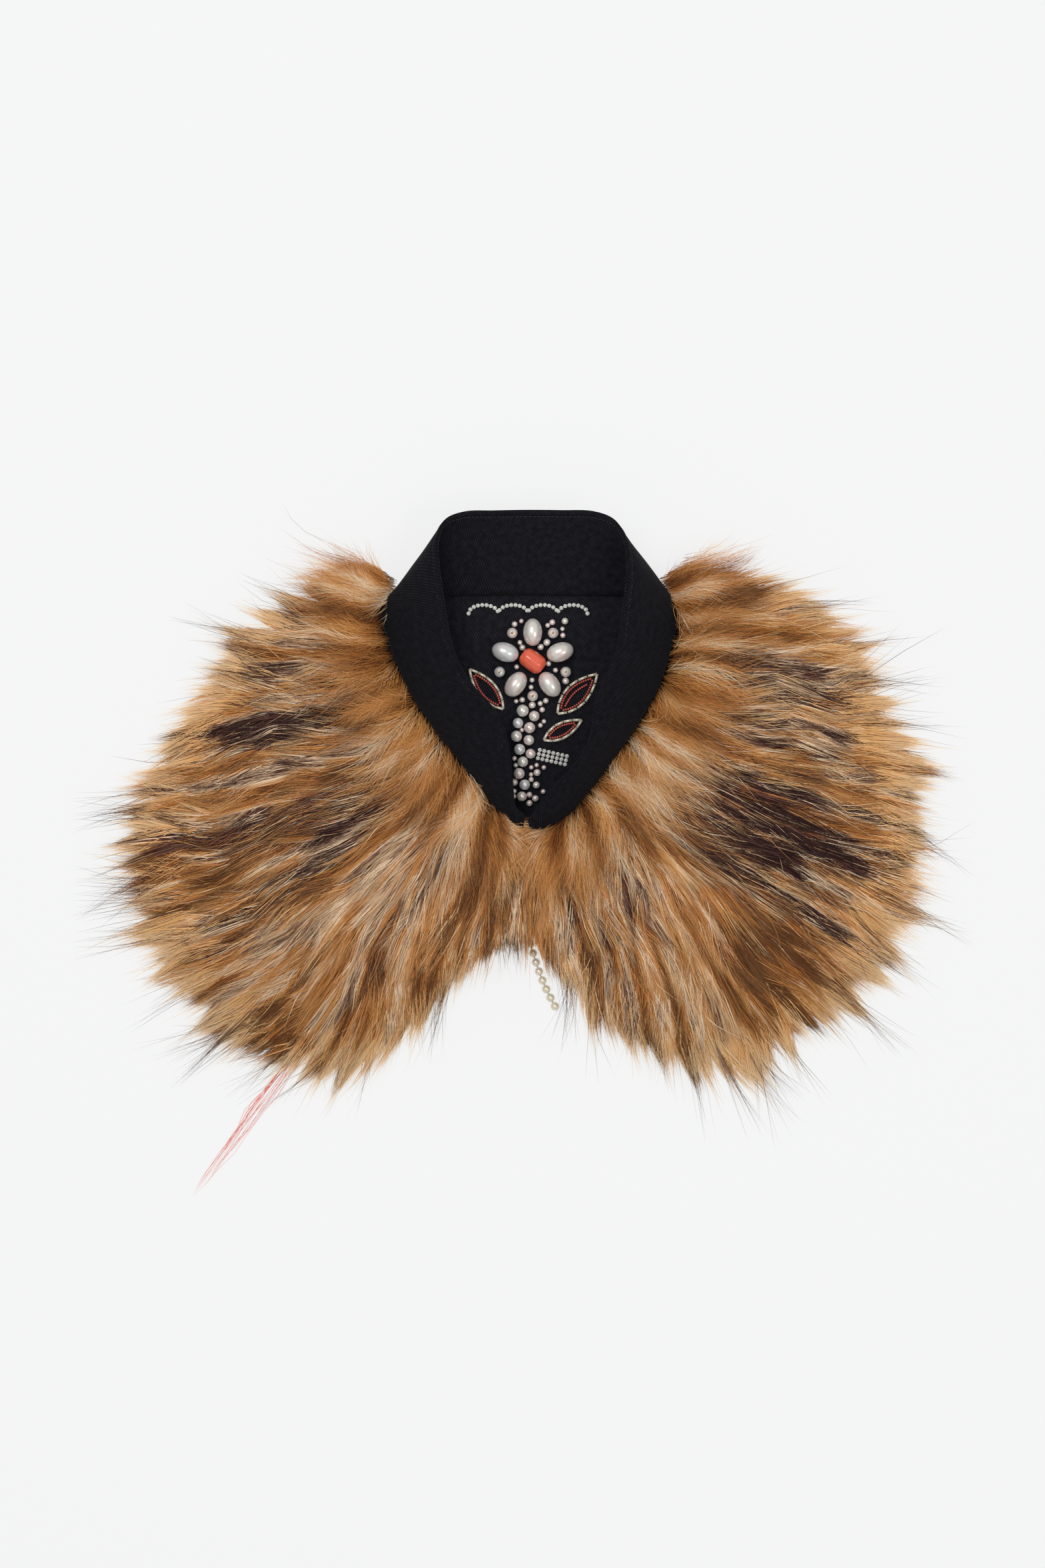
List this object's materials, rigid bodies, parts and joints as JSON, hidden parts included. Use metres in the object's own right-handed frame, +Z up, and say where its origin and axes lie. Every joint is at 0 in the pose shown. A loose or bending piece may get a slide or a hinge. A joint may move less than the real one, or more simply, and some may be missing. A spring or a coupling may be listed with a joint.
{
  "type": "fur collar stole",
  "caption": "Long-pile fur collar stole laid flat: two deep rounded fronts over a fur back, a folded black twill stand round the neck and a pearl-beaded lining.",
  "frame": {"origin": "on the underside of the fur back, where it lies on the table, under the middle of the neck opening and on the centre line of the two fronts", "axes": "+X to the right and +Y towards the nape as seen from above, +Z up from the table"},
  "size_m": [0.5418, 0.4487, 0.0617],
  "materials": {
    "fur": "long mixed pile, golden tan with cream and dark brown streaks",
    "fur_back": "the same pile, crushed flat",
    "twill": "black cotton twill",
    "lining": "black twill lining",
    "pearl": "cream imitation pearl",
    "coral": "coral coloured bead",
    "red_thread": "loose sewing thread"
  },
  "bodies": {
    "root": {"coral_bead": "coral", "fur_back": "fur_back", "fur_front_left": "fur", "fur_front_right": "fur", "lining_back": "lining", "pearl_bud_1": "pearl", "pearl_bud_2": "pearl", "pearl_bud_3": "pearl", "pearl_bud_4": "pearl", "pearl_bud_5": "pearl", "pearl_petal_1": "pearl", "pearl_petal_2": "pearl", "pearl_petal_3": "pearl", "pearl_petal_4": "pearl", "pearl_petal_5": "pearl", "pearl_strand": "pearl", "pearl_trail_1": "pearl", "pearl_trail_10": "pearl", "pearl_trail_11": "pearl", "pearl_trail_12": "pearl", "pearl_trail_2": "pearl", "pearl_trail_3": "pearl", "pearl_trail_4": "pearl", "pearl_trail_5": "pearl", "pearl_trail_6": "pearl", "pearl_trail_7": "pearl", "pearl_trail_8": "pearl", "pearl_trail_9": "pearl", "stand_inner": "twill", "stand_outer": "twill", "thread_tassel": "red_thread"}
  },
  "joints": []
}
